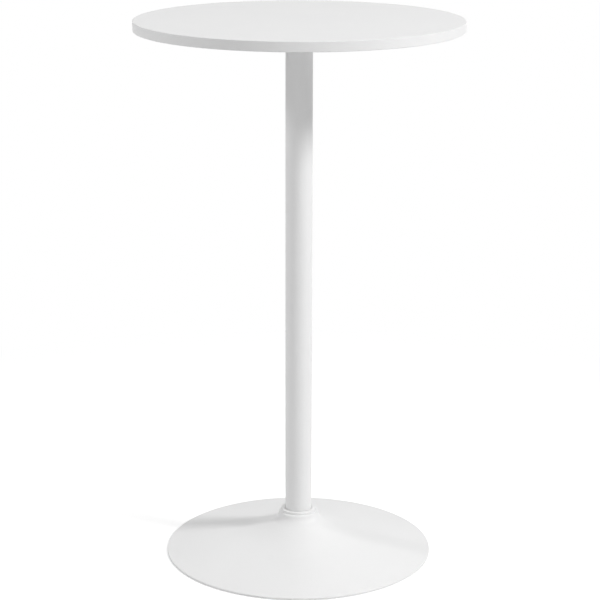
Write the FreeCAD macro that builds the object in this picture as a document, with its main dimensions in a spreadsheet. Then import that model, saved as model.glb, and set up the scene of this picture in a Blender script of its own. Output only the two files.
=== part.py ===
# Bar table: a round board on one steel column, standing in a spun trumpet foot.
# Millimetres and degrees. The floor is z = 0 and the column stands on the z axis.

import FreeCAD, Part
import Sketcher
import math
import operator
import os
from types import SimpleNamespace

sizes = {
    # whole table
    "overallHeight": 1020,
    "topDiameter": 600,
    "baseDiameter": 506,
    "columnDiameter": 50,
    # play left round each round fit, and how far a cut runs past the surface
    "fitClearance": 0.1,
    "cutOverrun": 1,
    # board and its edge band
    "boardThickness": 18,
    "bandThickness": 2,
    "bandEdgeRound": 1,
    "bandRoundLimitShare": 0.8,
    # column
    "columnWall": 1.5,
    "footNutThickness": 10,
    "footNutRecess": 3,
    # plate at the column's head
    "plateSide": 220,
    "plateThickness": 4,
    "plateCornerRound": 25,
    "plateHoleSpacing": 180,
    "plateHolePlay": 0.5,
    "plateWeldLeg": 4,
    # screws, washers, nuts and inserts of the M6 thread
    "screwDiameter": 6,
    "screwHeadDiameter": 10.5,
    "screwHeadHeight": 3.3,
    "screwHeadRoundShare": 0.73,
    "screwKeyWidth": 4,
    "screwKeyDepth": 2,
    "screwTipGap": 1.6,
    "screwTipProud": 1,
    "sinkHeadDiameter": 12.6,
    "washerDiameter": 12,
    "washerThickness": 1.6,
    "nutWidth": 10,
    "nutThickness": 5,
    "insertDiameter": 9,
    "insertHeadroom": 1,
    "boardSkin": 5,
    # trumpet cover of the foot, from the mouth down to the lip
    "coverWall": 1.5,
    "shoulderBend": 1.9,
    "neckStandoff": 12,
    "neckAngle": 80,
    "flareRadius": 23.5,
    "kneeAngle": 31,
    "bowlRadius": 218,
    "dishAngle": 11.5,
    "rimHeight": 4.6,
    "lipGroundGap": 0.8,
    # collar in the cover's mouth
    "collarBrim": 8,
    "collarHeight": 4.9,
    "collarEdgeRound": 1,
    "collarGroove": 1.9,
    "collarSkirtWall": 3,
    "collarSkirtLength": 6,
    # ring under the lip
    "rimRingWidth": 8,
    # weight plate
    "ballastThickness": 8,
    "ballastGroundGap": 3,
    "ballastHeadroom": 4.4,
    "ballastLedge": 3.5,
    "ballastChamfer": 1,
    # socket of the column
    "socketWall": 3,
    "socketPlay": 0.5,
    "socketWeldLeg": 4,
    "seatThickness": 6,
    "seatStandoff": 6,
    "seatWeldLeg": 3,
    "gussetThickness": 4,
    "gussetReach": 30,
    "gussetRise": 34,
    "gussetTip": 5,
    # brackets between weight plate and cover
    "bracketThickness": 2,
    "bracketPlaceShare": 0.51,
    "bracketFootLength": 24,
    "bracketTongueLength": 22,
    "bracketSpreadAngle": 14,
    "bracketTurnAngle": 45,
    # bolt of the M12 thread, under the column's foot
    "boltDiameter": 12,
    "boltTipProud": 1,
    "boltHeadWidth": 18,
    "boltHeadHeight": 7.5,
    "boltTipChamfer": 1,
    "boltHolePlay": 0.5,
    "boltWasherDiameter": 24,
    "boltWasherThickness": 2.5,
    "springWasherDiameter": 21,
    "springWasherThickness": 2.5,
    "springWasherSplit": 2,
}

document = FreeCAD.newDocument("bar_table")
sheet = document.addObject("Spreadsheet::Sheet", "Sizes")
for row, (alias, value) in enumerate(sizes.items(), 1):
    sheet.set(f"A{row}", alias)
    sheet.set(f"B{row}", str(value))
    sheet.setAlias(f"B{row}", alias)
document.recompute()

quarterTurns = 4
hexagonSides = 6
fullTurn = 360
edgeMatch = 0.0001


def asSize(value):
    return value if isinstance(value, Size) else Size(value, str(value))


def joined(first, sign, second, work):
    first, second = asSize(first), asSize(second)
    return Size(work(first.value, second.value), f"({first.text} {sign} {second.text})")


class Size:
    """A value, and the expression in the sheet's cells that it comes from."""

    def __init__(self, value, text):
        self.value = value
        self.text = text

    def __add__(self, other):
        return joined(self, "+", other, operator.add)

    def __radd__(self, other):
        return joined(other, "+", self, operator.add)

    def __sub__(self, other):
        return joined(self, "-", other, operator.sub)

    def __rsub__(self, other):
        return joined(other, "-", self, operator.sub)

    def __mul__(self, other):
        return joined(self, "*", other, operator.mul)

    def __truediv__(self, other):
        return joined(self, "/", other, operator.truediv)

    def __neg__(self):
        return 0 - self


def sine(angle):
    angle = asSize(angle)
    return Size(math.sin(math.radians(angle.value)), f"sin({angle.text})")


def cosine(angle):
    angle = asSize(angle)
    return Size(math.cos(math.radians(angle.value)), f"cos({angle.text})")


def tangent(angle):
    angle = asSize(angle)
    return Size(math.tan(math.radians(angle.value)), f"tan({angle.text})")


def smaller(first, second):
    return Size(min(first.value, second.value), f"min({first.text}; {second.text})")


size = SimpleNamespace(**{alias: Size(float(sheet.get(alias)), f"Sizes.{alias}") for alias in sizes})

# Board and plate
topRadius = size.topDiameter / 2
boardRadius = topRadius - size.bandThickness
boardBottom = size.overallHeight - size.boardThickness
plateBottom = boardBottom - size.plateThickness
plateHolePlace = size.plateHoleSpacing / 2
insertHole = size.boardThickness - size.boardSkin
insertLength = insertHole - size.insertHeadroom
plateScrewLength = size.washerThickness + size.plateThickness + insertLength - size.screwTipGap
threadBore = size.screwDiameter / 2 + size.fitClearance

# Column and cover, from the lip up to the mouth
baseRadius = size.baseDiameter / 2
columnRadius = size.columnDiameter / 2
columnBore = columnRadius - size.columnWall
lipRadius = baseRadius - size.coverWall
dishDrop = size.coverWall / cosine(size.dishAngle)
shoulderRadius = size.shoulderBend + size.coverWall
neckRadius = columnRadius + size.neckStandoff
kneeRadius = neckRadius + size.flareRadius * (sine(size.neckAngle) - sine(size.kneeAngle))
dishRadius = kneeRadius + size.bowlRadius * (sine(size.kneeAngle) - sine(size.dishAngle))
dishHeight = size.rimHeight + (baseRadius - dishRadius) * tangent(size.dishAngle)
kneeHeight = dishHeight + size.bowlRadius * (cosine(size.dishAngle) - cosine(size.kneeAngle))
neckHeight = kneeHeight + size.flareRadius * (cosine(size.kneeAngle) - cosine(size.neckAngle))
mouthHeight = neckHeight + shoulderRadius * (1 - cosine(size.neckAngle))
shoulderPlace = neckRadius - shoulderRadius * sine(size.neckAngle)

# Collar and socket
collarBore = columnRadius + size.fitClearance
skirtRadius = collarBore + size.collarSkirtWall
mouthRadius = skirtRadius + size.fitClearance
ballastTop = size.ballastGroundGap + size.ballastThickness
ballastRise = ballastTop + size.ballastHeadroom + dishDrop - size.rimHeight
ballastRadius = baseRadius - ballastRise / tangent(size.dishAngle)
socketTop = mouthHeight - size.collarSkirtLength
socketBore = columnRadius + size.socketPlay
socketRadius = socketBore + size.socketWall
seatBottom = ballastTop + size.seatStandoff
columnFoot = seatBottom + size.seatThickness
footNutBottom = columnFoot + size.footNutRecess

# Bolt stack under the column's foot
boltWasherBottom = seatBottom - size.boltWasherThickness
springWasherBottom = boltWasherBottom - size.springWasherThickness
boltHeadBottom = springWasherBottom - size.boltHeadHeight
boltTip = footNutBottom + size.footNutThickness + size.boltTipProud
boltThreadBore = size.boltDiameter / 2 + size.fitClearance

# Brackets and their sunk screws
bracketWeb = baseRadius * size.bracketPlaceShare
bracketFootTip = bracketWeb - size.bracketFootLength
bracketScrewPlace = bracketWeb - size.bracketFootLength / 2
bracketScrewGrip = size.ballastThickness + size.bracketThickness + size.nutThickness
bracketScrewLength = bracketScrewGrip + size.screwTipProud
sinkDepth = (size.sinkHeadDiameter - size.screwDiameter) / 2


# Bodies, sketches and features

def tie(item, name, value):
    item.setExpression(name, asSize(value).text)


def newBody(name, level=0, turn=0):
    body = document.addObject("PartDesign::Body", name)
    body.Label = name
    tie(body, "Placement.Base.z", level)
    if turn != 0:
        body.Placement.Rotation = FreeCAD.Rotation(FreeCAD.Vector(0, 0, 1), asSize(turn).value)
        tie(body, "Placement.Rotation.Angle", turn)
    return body


def originFeature(body, role):
    return next(feature for feature in body.Origin.OriginFeatures if feature.Role == role)


def newSketch(body, name, plane):
    sketch = body.newObject("Sketcher::SketchObject", f"{body.Name}_{name}")
    sketch.AttachmentSupport = [(originFeature(body, plane), "")]
    sketch.MapMode = "FlatFace"
    return sketch


def planSketch(body, name):
    return newSketch(body, name, "XY_Plane")


def sideSketch(body, name):
    return newSketch(body, name, "XZ_Plane")


def point(x, y):
    return FreeCAD.Vector(asSize(x).value, asSize(y).value, 0)


def bind(sketch, kind, parts, value):
    index = sketch.addConstraint(Sketcher.Constraint(kind, *parts, float(asSize(value).value)))
    tie(sketch, f"Constraints[{index}]", value)


def addCircle(sketch, radius, place=(0, 0)):
    outline = Part.Circle(point(*place), FreeCAD.Vector(0, 0, 1), radius.value)
    circle = sketch.addGeometry(outline, False)
    bind(sketch, "Radius", (circle,), radius)
    bind(sketch, "DistanceX", (-1, 1, circle, 3), place[0])
    bind(sketch, "DistanceY", (-1, 1, circle, 3), place[1])


def addSide(sketch, start, end, radius, bend):
    """A line, or an arc that bends to the left (1) or right (-1). Returns it and its two ends."""
    if radius is None:
        return sketch.addGeometry(Part.LineSegment(start, end), False), 1, 2
    chord = end - start
    reach = math.sqrt(radius.value ** 2 - (chord.Length / 2) ** 2)
    across = FreeCAD.Vector(-chord.y, chord.x, 0).normalize()
    centre = (start + end) * 0.5 + across * reach * bend
    circle = Part.Circle(centre, FreeCAD.Vector(0, 0, 1), radius.value)
    first, last = (start, end) if bend > 0 else (end, start)
    angles = [math.atan2(tip.y - centre.y, tip.x - centre.x) for tip in (first, last)]
    side = sketch.addGeometry(Part.ArcOfCircle(circle, *angles), False)
    bind(sketch, "Radius", (side,), radius)
    return (side, 1, 2) if bend > 0 else (side, 2, 1)


def addOutline(sketch, corners):
    """Close an outline through corners (x, y), or (x, y, radius, bend) where an arc leaves one."""
    corners = [corner if len(corner) == 4 else (*corner, None, 0) for corner in corners]
    corners = [(asSize(x), asSize(y), radius, bend) for x, y, radius, bend in corners]
    points = [point(x, y) for x, y, _, _ in corners]
    sides = []
    for index, (_, _, radius, bend) in enumerate(corners):
        following = points[(index + 1) % len(points)]
        sides.append(addSide(sketch, points[index], following, radius, bend))
    for index, (side, start, _) in enumerate(sides):
        before, _, beforeEnd = sides[index - 1]
        sketch.addConstraint(Sketcher.Constraint("Coincident", before, beforeEnd, side, start))
    for axis, level, kind in ((0, "Vertical", "DistanceX"), (1, "Horizontal", "DistanceY")):
        straight = [
            corner[2] is None and corner[axis].text == corners[(index + 1) % len(corners)][axis].text
            for index, corner in enumerate(corners)
        ]
        for index, (side, start, _) in enumerate(sides):
            if straight[index]:
                sketch.addConstraint(Sketcher.Constraint(level, side))
            if not straight[index - 1]:
                bind(sketch, kind, (-1, 1, side, start), corners[index][axis])


def addAxis(sketch, place, rise):
    """An upright centre line for a piece that is turned about its own axis."""
    segment = Part.LineSegment(point(place, 0), point(place, rise))
    line = sketch.addGeometry(segment, True)
    sketch.addConstraint(Sketcher.Constraint("Vertical", line))
    bind(sketch, "DistanceX", (-1, 1, line, 1), place)
    bind(sketch, "DistanceY", (-1, 1, line, 1), 0)
    bind(sketch, "DistanceY", (-1, 1, line, 2), rise)


def hexagon(width, place=(0, 0)):
    corner = width / 2 / cosine(fullTurn / 2 / hexagonSides)
    turns = range(0, fullTurn, fullTurn // hexagonSides)
    return [(place[0] + corner * cosine(turn), place[1] + corner * sine(turn)) for turn in turns]


def newFeature(body, kind, sketch):
    name = sketch.Name.replace("_outline", "")
    feature = body.newObject(f"PartDesign::{kind}", f"{name}_{kind.lower()}")
    feature.Profile = sketch
    return feature


def pad(body, sketch, length, centred=False):
    feature = newFeature(body, "Pad", sketch)
    tie(feature, "Length", length)
    feature.SideType = "Symmetric" if centred else "One side"
    return feature


def turned(body, sketch, axis="V_Axis", angle=fullTurn):
    feature = newFeature(body, "Revolution", sketch)
    feature.ReferenceAxis = (sketch, [axis])
    tie(feature, "Angle", angle)
    feature.Midplane = True
    return feature


def solidVolume(body):
    document.recompute()
    return body.Shape.Volume


def checkedCut(body, feature, before):
    """A cut that points away from the solid leaves it whole, so the volume has to drop."""
    if solidVolume(body) >= before:
        raise RuntimeError(f"{feature.Name} cuts nothing")
    return feature


def pocketUp(body, sketch, depth):
    before = solidVolume(body)
    feature = newFeature(body, "Pocket", sketch)
    tie(feature, "Length", depth)
    feature.Reversed = True
    return checkedCut(body, feature, before)


def groove(body, sketch, axis):
    before = solidVolume(body)
    feature = newFeature(body, "Groove", sketch)
    feature.ReferenceAxis = (sketch, [axis])
    return checkedCut(body, feature, before)


def aroundColumn(body, feature=None):
    """Repeat one feature, or the whole piece, at each quarter turn about the column."""
    pattern = body.newObject("PartDesign::PolarPattern", f"{body.Name}_pattern")
    pattern.Originals = [feature] if feature else []
    pattern.TransformMode = "Features" if feature else "Whole shape"
    pattern.Axis = (originFeature(body, "Z_Axis"), [""])
    pattern.Occurrences = quarterTurns
    body.Tip = pattern
    return pattern


def dress(body, kind, feature, reach, edges):
    """Round or bevel a feature's edges."""
    document.recompute()
    names = [f"Edge{index}" for index, edge in enumerate(feature.Shape.Edges, 1) if edges(edge)]
    dressed = body.newObject(f"PartDesign::{kind}", f"{body.Name}_{kind.lower()}")
    dressed.Base = (feature, names)
    tie(dressed, "Radius" if kind == "Fillet" else "Size", reach)
    return dressed


def near(value, target):
    return math.isclose(value, asSize(target).value, abs_tol=edgeMatch)


def circleEdge(radius, *levels):
    def test(edge):
        curve = edge.Curve
        if not isinstance(curve, Part.Circle) or not near(curve.Radius, radius):
            return False
        return any(near(curve.Center.z, level) for level in levels)
    return test


def uprightEdge(edge):
    first, last = edge.Vertexes[0], edge.Vertexes[-1]
    return math.isclose(edge.Length, abs(first.Z - last.Z), abs_tol=edgeMatch)


def ring(name, outer, inner, length, level=0):
    """A disc with a bore, or a plain length of tube."""
    body = newBody(name, level)
    sketch = planSketch(body, "outline")
    addCircle(sketch, outer)
    addCircle(sketch, inner)
    return body, pad(body, sketch, length)


def weldBead(name, wall, toe, leg, level, upward):
    """A bead in the corner between an upright wall and a plate below it, or above it."""
    body = newBody(name, level)
    sketch = sideSketch(body, "outline")
    plate, end = (0, leg) if upward else (leg, 0)
    addOutline(sketch, [(wall, plate), (toe, plate), (wall, end)])
    turned(body, sketch)


def coneUnderside(radius):
    """Height of the cover's underside where the dish is a straight cone."""
    return size.rimHeight + (baseRadius - radius) * tangent(size.dishAngle) - dishDrop


# Top: board, edge band, inserts

def tabletopBoard():
    body = newBody("tabletop_board", boardBottom)
    sketch = planSketch(body, "outline")
    addCircle(sketch, boardRadius)
    pad(body, sketch, size.boardThickness)
    holes = planSketch(body, "insert_hole")
    addCircle(holes, size.insertDiameter / 2 + size.fitClearance, (plateHolePlace, plateHolePlace))
    aroundColumn(body, pocketUp(body, holes, insertHole))


def tabletopEdgeBand():
    body, band = ring("tabletop_edge_band", topRadius, boardRadius, size.boardThickness, boardBottom)
    edgeRound = smaller(size.bandEdgeRound, size.bandThickness * size.bandRoundLimitShare)
    dress(body, "Fillet", band, edgeRound, circleEdge(topRadius, 0, size.boardThickness))


def topInsertNuts():
    body = newBody("top_insert_nuts", boardBottom)
    sketch = planSketch(body, "outline")
    for radius in (size.insertDiameter / 2, threadBore):
        addCircle(sketch, radius, (plateHolePlace, plateHolePlace))
    pad(body, sketch, insertLength)
    aroundColumn(body)


# Top: plate, screws, washers

def topPlate():
    body = newBody("top_plate", plateBottom)
    sketch = planSketch(body, "outline")
    left, right = -size.plateSide / 2, size.plateSide / 2
    addOutline(sketch, [(left, left), (right, left), (right, right), (left, right)])
    plate = pad(body, sketch, size.plateThickness)
    dress(body, "Fillet", plate, size.plateCornerRound, uprightEdge)
    document.recompute()
    holes = planSketch(body, "hole")
    addCircle(holes, size.screwDiameter / 2 + size.plateHolePlay, (plateHolePlace, plateHolePlace))
    aroundColumn(body, pocketUp(body, holes, size.plateThickness + size.cutOverrun))


def topPlateWashers():
    body = newBody("top_plate_washers", plateBottom - size.washerThickness)
    sketch = planSketch(body, "outline")
    for radius in (size.washerDiameter / 2, threadBore):
        addCircle(sketch, radius, (plateHolePlace, plateHolePlace))
    pad(body, sketch, size.washerThickness)
    aroundColumn(body)


def topPlateScrews():
    body = newBody("top_plate_screws", plateBottom - size.washerThickness - size.screwHeadHeight)
    place = (plateHolePlace, plateHolePlace)
    head = planSketch(body, "head")
    addCircle(head, size.screwHeadDiameter / 2, place)
    headPad = pad(body, head, size.screwHeadHeight)
    dress(body, "Fillet", headPad, size.screwHeadHeight * size.screwHeadRoundShare,
          circleEdge(size.screwHeadDiameter / 2, 0))
    shank = planSketch(body, "shank")
    addCircle(shank, size.screwDiameter / 2, place)
    pad(body, shank, size.screwHeadHeight + plateScrewLength)
    key = planSketch(body, "key")
    addOutline(key, hexagon(size.screwKeyWidth, place))
    document.recompute()
    pocketUp(body, key, size.screwKeyDepth)
    aroundColumn(body)


# Column

def columnTube():
    ring("column_tube", columnRadius, columnBore, plateBottom - columnFoot, columnFoot)


def columnTopWeld():
    weldBead("column_top_weld", columnRadius, columnRadius + size.plateWeldLeg, size.plateWeldLeg,
             plateBottom - size.plateWeldLeg, upward=False)


def columnFootNut():
    ring("column_foot_nut", columnBore - size.fitClearance, boltThreadBore, size.footNutThickness,
         footNutBottom)


def columnFootWeld():
    weldBead("column_foot_weld", columnBore, columnBore - size.footNutRecess, size.footNutRecess,
             columnFoot, upward=False)


# Foot: cover, collar and the ring it stands on

def baseCover():
    body = newBody("base_cover")
    sketch = sideSketch(body, "outline")
    inward = [
        (radius - size.coverWall * sine(slope), height - size.coverWall * cosine(slope))
        for radius, height, slope in (
            (dishRadius, dishHeight, size.dishAngle),
            (kneeRadius, kneeHeight, size.kneeAngle),
            (neckRadius, neckHeight, size.neckAngle),
        )
    ]
    rimCentre = coneUnderside(lipRadius)
    addOutline(sketch, [
        (mouthRadius, mouthHeight),
        (shoulderPlace, mouthHeight, shoulderRadius, -1),
        (neckRadius, neckHeight, size.flareRadius, 1),
        (kneeRadius, kneeHeight, size.bowlRadius, 1),
        (dishRadius, dishHeight),
        (
            lipRadius + size.coverWall * sine(size.dishAngle),
            rimCentre + size.coverWall * cosine(size.dishAngle),
            size.coverWall,
            -1,
        ),
        (baseRadius, rimCentre),
        (baseRadius, size.lipGroundGap),
        (lipRadius, size.lipGroundGap),
        (lipRadius, rimCentre),
        (*inward[0], size.bowlRadius + size.coverWall, -1),
        (*inward[1], size.flareRadius + size.coverWall, -1),
        (*inward[2], shoulderRadius - size.coverWall, 1),
        (shoulderPlace, mouthHeight - size.coverWall),
        (mouthRadius, mouthHeight - size.coverWall),
    ])
    turned(body, sketch)


def trimCollar():
    body = newBody("trim_collar", socketTop)
    sketch = sideSketch(body, "outline")
    brim = columnRadius + size.collarBrim
    top = size.collarSkirtLength + size.collarHeight
    addOutline(sketch, [
        (collarBore, 0),
        (skirtRadius, 0),
        (skirtRadius, size.collarSkirtLength),
        (brim, size.collarSkirtLength),
        (brim, top - size.collarEdgeRound, size.collarEdgeRound, 1),
        (brim - size.collarEdgeRound, top),
        (collarBore + size.collarGroove, top),
        (collarBore, top - size.collarGroove),
    ])
    turned(body, sketch)


def rimRing():
    body = newBody("rim_ring")
    sketch = sideSketch(body, "outline")
    outer = lipRadius - size.fitClearance
    inner = lipRadius - size.fitClearance - size.rimRingWidth
    addOutline(sketch, [
        (inner, 0),
        (outer, 0),
        (outer, coneUnderside(outer) - size.fitClearance),
        (inner, coneUnderside(inner) - size.fitClearance),
    ])
    turned(body, sketch)


# Foot: weight plate and the column's socket

def sinkOutline(play, rise):
    """A screw with a sunk head, or its hole, about the bracket screw's own axis."""
    head = bracketScrewPlace + size.sinkHeadDiameter / 2 + play
    shank = bracketScrewPlace + size.screwDiameter / 2 + play
    return [
        (bracketScrewPlace, 0),
        (head, 0),
        (shank, sinkDepth),
        (shank, rise),
        (bracketScrewPlace, rise),
    ]


def ballastPlate():
    body = newBody("ballast_plate", size.ballastGroundGap, size.bracketTurnAngle)
    sketch = planSketch(body, "outline")
    addCircle(sketch, ballastRadius)
    addCircle(sketch, socketBore - size.ballastLedge)
    plate = pad(body, sketch, size.ballastThickness)
    rims = circleEdge(ballastRadius, 0, size.ballastThickness)
    dress(body, "Chamfer", plate, size.ballastChamfer, rims)
    document.recompute()
    hole = sideSketch(body, "screw_hole")
    rise = size.ballastThickness + size.cutOverrun
    addAxis(hole, bracketScrewPlace, rise)
    addOutline(hole, sinkOutline(size.fitClearance, rise))
    aroundColumn(body, groove(body, hole, "Axis0"))


def socketTube():
    ring("socket_tube", socketRadius, socketBore, socketTop - ballastTop, ballastTop)


def socketSeatDisc():
    ring("socket_seat_disc", socketBore - size.fitClearance, size.boltDiameter / 2 + size.boltHolePlay,
         size.seatThickness, seatBottom)


def socketWeld():
    weldBead("socket_weld", socketRadius, socketRadius + size.socketWeldLeg, size.socketWeldLeg,
             ballastTop, upward=True)


def socketSeatWeld():
    weldBead("socket_seat_weld", socketBore, socketBore - size.seatWeldLeg, size.seatWeldLeg,
             seatBottom - size.seatWeldLeg, upward=False)


def socketGusset(index):
    """The inner corner is cut off, so that the weld bead runs past."""
    body = newBody(f"socket_gusset_{index + 1}", ballastTop, fullTurn / quarterTurns * index)
    sketch = sideSketch(body, "outline")
    inner, outer = socketRadius, socketRadius + size.gussetReach
    relief = size.socketWeldLeg + size.cutOverrun
    addOutline(sketch, [
        (inner + relief, 0),
        (outer, 0),
        (outer, size.gussetTip),
        (inner + size.gussetTip, size.gussetRise),
        (inner, size.gussetRise),
        (inner, relief),
    ])
    pad(body, sketch, size.gussetThickness, centred=True)


# Foot: brackets between weight plate and cover, with their screws and nuts

def coverBracket(index):
    """A foot on the weight plate, a web, and a tongue that follows the cover's underside."""
    turn = size.bracketTurnAngle + fullTurn / quarterTurns * index
    body = newBody(f"cover_bracket_{index + 1}", ballastTop, turn)
    sketch = sideSketch(body, "outline")
    web, webInner = bracketWeb, bracketWeb - size.bracketThickness
    tip = bracketWeb + size.bracketTongueLength

    def tongue(radius):
        return coneUnderside(radius) - size.fitClearance - ballastTop
    under = size.bracketThickness / cosine(size.dishAngle)
    addOutline(sketch, [
        (bracketFootTip, 0),
        (web, 0),
        (web, tongue(web) - under),
        (tip, tongue(tip) - under),
        (tip, tongue(tip)),
        (webInner, tongue(webInner)),
        (webInner, size.bracketThickness),
        (bracketFootTip, size.bracketThickness),
    ])
    turned(body, sketch, angle=size.bracketSpreadAngle)
    document.recompute()
    hole = planSketch(body, "hole")
    addCircle(hole, size.screwDiameter / 2 + size.plateHolePlay, (bracketScrewPlace, 0))
    pocketUp(body, hole, size.bracketThickness)


def bracketScrews():
    body = newBody("bracket_screws", size.ballastGroundGap, size.bracketTurnAngle)
    sketch = sideSketch(body, "outline")
    addAxis(sketch, bracketScrewPlace, bracketScrewLength)
    addOutline(sketch, sinkOutline(0, bracketScrewLength))
    turned(body, sketch, "Axis0")
    document.recompute()
    key = planSketch(body, "key")
    addOutline(key, hexagon(size.screwKeyWidth, (bracketScrewPlace, 0)))
    pocketUp(body, key, size.screwKeyDepth)
    aroundColumn(body)


def bracketNuts():
    body = newBody("bracket_nuts", ballastTop + size.bracketThickness, size.bracketTurnAngle)
    sketch = planSketch(body, "outline")
    place = (bracketScrewPlace, 0)
    addOutline(sketch, hexagon(size.nutWidth, place))
    addCircle(sketch, threadBore, place)
    pad(body, sketch, size.nutThickness)
    aroundColumn(body)


# Foot: bolt that holds the column from below

def centreBolt():
    body = newBody("centre_bolt", boltHeadBottom)
    head = planSketch(body, "head")
    addOutline(head, hexagon(size.boltHeadWidth))
    pad(body, head, size.boltHeadHeight)
    shank = planSketch(body, "shank")
    addCircle(shank, size.boltDiameter / 2)
    pin = pad(body, shank, boltTip - boltHeadBottom)
    dress(body, "Chamfer", pin, size.boltTipChamfer,
          circleEdge(size.boltDiameter / 2, boltTip - boltHeadBottom))


def centreBoltWasher():
    ring("centre_bolt_washer", size.boltWasherDiameter / 2, boltThreadBore, size.boltWasherThickness,
         boltWasherBottom)


def centreBoltSpringWasher():
    body, _ = ring("centre_bolt_spring_washer", size.springWasherDiameter / 2, boltThreadBore,
                   size.springWasherThickness, springWasherBottom)
    document.recompute()
    split = planSketch(body, "split")
    half = size.springWasherSplit / 2
    reach = size.springWasherDiameter / 2 + size.cutOverrun
    addOutline(split, [(0, -half), (reach, -half), (reach, half), (0, half)])
    pocketUp(body, split, size.springWasherThickness + size.cutOverrun)


tabletopBoard()
tabletopEdgeBand()
topInsertNuts()
topPlate()
topPlateWashers()
topPlateScrews()
columnTube()
columnTopWeld()
columnFootNut()
columnFootWeld()
baseCover()
trimCollar()
rimRing()
ballastPlate()
socketTube()
socketSeatDisc()
socketSeatWeld()
socketWeld()
for quarter in range(quarterTurns):
    socketGusset(quarter)
    coverBracket(quarter)
bracketScrews()
bracketNuts()
centreBolt()
centreBoltWasher()
centreBoltSpringWasher()
document.recompute()

# Check every object before anything is written
for item in document.Objects:
    if "Invalid" in item.State or "Error" in item.State:
        raise RuntimeError(f"{item.Name} did not build: {item.State}")

pieces = [item for item in document.Objects if item.TypeId == "PartDesign::Body"]
for piece in pieces:
    if piece.Shape.isNull() or not piece.Shape.isValid():
        raise RuntimeError(f"{piece.Label} has no valid shape")

os.makedirs("parts", exist_ok=True)
for piece in pieces:
    piece.Shape.exportStep(f"parts/{piece.Label}.step")
    print(f"{piece.Label}: {len(piece.Shape.Solids)} solids, {piece.Shape.Volume / 1000:.2f} cm3")
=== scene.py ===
import math

import bmesh
import bpy
from mathutils import Matrix, Vector
from mathutils.geometry import tessellate_polygon


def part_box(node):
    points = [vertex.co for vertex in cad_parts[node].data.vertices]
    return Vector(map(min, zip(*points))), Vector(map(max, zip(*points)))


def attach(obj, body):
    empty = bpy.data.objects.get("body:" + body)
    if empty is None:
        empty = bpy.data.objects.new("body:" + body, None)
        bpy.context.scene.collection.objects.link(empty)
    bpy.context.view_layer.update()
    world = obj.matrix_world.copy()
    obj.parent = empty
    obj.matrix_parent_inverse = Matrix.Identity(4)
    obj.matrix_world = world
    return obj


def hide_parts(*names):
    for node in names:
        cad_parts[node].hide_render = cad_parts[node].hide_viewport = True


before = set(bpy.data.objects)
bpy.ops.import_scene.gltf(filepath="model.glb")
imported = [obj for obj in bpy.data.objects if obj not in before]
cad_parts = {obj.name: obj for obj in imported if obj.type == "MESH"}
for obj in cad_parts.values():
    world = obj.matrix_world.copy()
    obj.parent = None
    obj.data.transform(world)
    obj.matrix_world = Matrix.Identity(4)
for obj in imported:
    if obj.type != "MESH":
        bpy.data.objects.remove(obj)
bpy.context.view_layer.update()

# A white bar table: round laminated top, powder-coated column and trumpet foot.
# Metres, floor at z = 0, the column stands on the z axis.
print("stage: frame loaded,", len(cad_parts), "nodes")


# shader helpers

class Wire:
    # one socket, with arithmetic that adds Math nodes
    def __init__(self, finish, socket):
        self.finish = finish
        self.socket = socket

    def __add__(self, other):
        return self.finish.maths("ADD", self, other)

    def __radd__(self, other):
        return self.finish.maths("ADD", other, self)

    def __sub__(self, other):
        return self.finish.maths("SUBTRACT", self, other)

    def __rsub__(self, other):
        return self.finish.maths("SUBTRACT", other, self)

    def __mul__(self, other):
        return self.finish.maths("MULTIPLY", self, other)

    def __rmul__(self, other):
        return self.finish.maths("MULTIPLY", other, self)


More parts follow.
